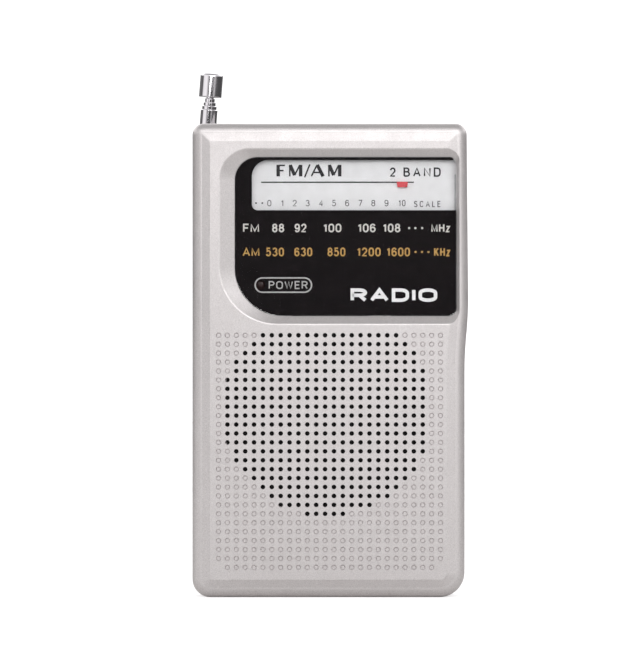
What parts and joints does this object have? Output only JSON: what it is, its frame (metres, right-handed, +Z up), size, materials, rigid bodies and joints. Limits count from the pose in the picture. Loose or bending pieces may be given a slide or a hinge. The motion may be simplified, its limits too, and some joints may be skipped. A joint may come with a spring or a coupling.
{
  "type": "transistor pocket radio",
  "caption": "Upright silver pocket radio with a sunken dial window, perforated speaker field, side thumbwheels and a telescopic antenna at the rear corner.",
  "frame": {"origin": "centre of the base face, on the surface the radio stands on", "axes": "+X to the radio's right as seen from its face, +Y from the face to the back, +Z up"},
  "size_m": [0.0688, 0.03, 0.1314],
  "materials": {
    "silver_paint": "fine metallic silver paint on moulded plastic",
    "clear_window": "clear polished acrylic",
    "black_print": "black print behind the clear window",
    "white_card": "white printed card",
    "red_plastic": "red moulded plastic",
    "white_plastic": "natural white acetal",
    "black_plastic": "black moulded plastic",
    "chrome": "polished chrome plate",
    "steel": "zinc plated steel",
    "brass": "turned brass",
    "cloth": "black woven cloth",
    "cord": "waxed braided cord",
    "board": "phenolic board with solder mask",
    "clear_case": "milky clear plastic",
    "lamp_red": "tinted epoxy lamp",
    "paper": "pressed paper pulp",
    "ferrite": "ground ferrite",
    "copper": "enamelled copper wire",
    "cell_wrap": "printed sleeve on a steel can",
    "blue_sleeve": "shrink sleeve",
    "ceramic_tan": "dipped ceramic",
    "filter_orange": "moulded filter case",
    "wire_sleeve": "soft insulated wire"
  },
  "bodies": {
    "case": {"front_cover": "silver_paint", "rear_cover": "silver_paint", "case_screws": "steel", "grille_cloth": "cloth", "dial_lens": "clear_window", "dial_mask": "black_print", "dial_plate": "white_card", "dial_cord": "cord", "pulley_pins": "steel", "tuning_capacitor": "clear_case", "volume_pot": "steel", "band_switch_body": "steel", "earphone_jack": "black_plastic", "power_led": "lamp_red", "circuit_board": "board", "board_screws": "steel", "radio_ic": "black_plastic", "if_transformers": "steel", "electrolytic_capacitors": "blue_sleeve", "disc_capacitors": "ceramic_tan", "ceramic_filters": "filter_orange", "resistors": "ceramic_tan", "ferrite_rod": "ferrite", "antenna_coil": "copper", "ferrite_holders": "white_plastic", "speaker_frame": "steel", "speaker_top_plate": "steel", "speaker_magnet": "ferrite", "speaker_yoke": "steel", "speaker_washers": "steel", "speaker_screws": "steel", "battery_upper": "cell_wrap", "battery_lower": "cell_wrap", "battery_plates": "steel", "battery_springs": "steel", "antenna_foot_screw": "steel", "speaker_wires": "wire_sleeve", "battery_wires": "wire_sleeve"},
    "tuning": {"tuning_wheel": "black_plastic", "tuning_wheel_screw": "steel", "tuning_shaft": "brass"},
    "pointer": {"dial_pointer": "red_plastic", "pointer_carriage": "black_plastic"},
    "pulley_upper": {"cord_pulley_upper": "white_plastic"},
    "pulley_lower": {"cord_pulley_lower": "white_plastic"},
    "volume": {"volume_wheel": "black_plastic", "volume_wheel_screw": "steel", "volume_shaft": "brass"},
    "band_switch": {"band_switch_knob": "black_plastic"},
    "cone": {"speaker_cone": "paper", "speaker_dust_cap": "paper"},
    "door": {"battery_door": "silver_paint"},
    "antenna_fork": {"antenna_foot": "chrome", "antenna_elbow_pin": "steel"},
    "antenna_1": {"antenna_section_1": "chrome"},
    "antenna_2": {"antenna_section_2": "chrome"},
    "antenna_3": {"antenna_section_3": "chrome"},
    "antenna_4": {"antenna_section_4": "chrome"},
    "antenna_tip": {"antenna_rod": "chrome", "antenna_knob": "chrome"}
  },
  "joints": [
    {"name": "tuning_wheel_spin", "type": "hinge", "parent": "case", "child": "tuning", "pos_m": [0.0196, -0.0066, 0.0912], "axis": [0, -1, 0], "range_deg": [0, 180]},
    {"name": "pointer_slide", "type": "slide", "parent": "case", "child": "pointer", "axis": [-1, 0, 0], "range_m": [0, 0.033]},
    {"name": "pulley_upper_spin", "type": "hinge", "parent": "case", "child": "pulley_upper", "pos_m": [-0.0255, -0.00885, 0.0997], "axis": [0, -1, 0], "range_deg": [0, 946]},
    {"name": "pulley_lower_spin", "type": "hinge", "parent": "case", "child": "pulley_lower", "pos_m": [-0.0255, -0.00885, 0.0827], "axis": [0, -1, 0], "range_deg": [0, 946]},
    {"name": "volume_wheel_spin", "type": "hinge", "parent": "case", "child": "volume", "pos_m": [0.0254, -0.0066, 0.067], "axis": [0, -1, 0], "range_deg": [0, 300]},
    {"name": "band_switch_slide", "type": "slide", "parent": "case", "child": "band_switch", "axis": [0, 0, -1], "range_m": [0, 0.0025]},
    {"name": "speaker_cone_travel", "type": "slide", "parent": "case", "child": "cone", "axis": [0, 1, 0], "range_m": [-0.0005, 0.0005], "stiffness_N_per_m": 600},
    {"name": "battery_door_slide", "type": "slide", "parent": "case", "child": "door", "axis": [0, 0, -1], "range_m": [0, 0.036]},
    {"name": "antenna_swing", "type": "hinge", "parent": "case", "child": "antenna_fork", "pos_m": [-0.0319, 0.0112, 0.098], "axis": [0, -1, 0], "range_deg": [0, 184.4]},
    {"name": "antenna_elbow", "type": "hinge", "parent": "antenna_fork", "child": "antenna_1", "pos_m": [-0.0319, 0.0112, 0.098], "axis": [-0.9971, 0, 0.0767], "range_deg": [0, 90]},
    {"name": "antenna_2_slide", "type": "slide", "parent": "antenna_1", "child": "antenna_2", "axis": [0.0767, 0, 0.9971], "range_m": [0, 0.017]},
    {"name": "antenna_3_slide", "type": "slide", "parent": "antenna_2", "child": "antenna_3", "axis": [0.0767, 0, 0.9971], "range_m": [0, 0.017]},
    {"name": "antenna_4_slide", "type": "slide", "parent": "antenna_3", "child": "antenna_4", "axis": [0.0767, 0, 0.9971], "range_m": [0, 0.017]},
    {"name": "antenna_tip_slide", "type": "slide", "parent": "antenna_4", "child": "antenna_tip", "axis": [0.0767, 0, 0.9971], "range_m": [0, 0.017]}
  ],
  "couplings": [
    {"joint": "pointer_slide", "follows": "tuning_wheel_spin", "m_per_rad": 0.0105},
    {"joint": "pulley_upper_spin", "follows": "tuning_wheel_spin", "ratio": 5.25},
    {"joint": "pulley_lower_spin", "follows": "tuning_wheel_spin", "ratio": 5.25}
  ]
}
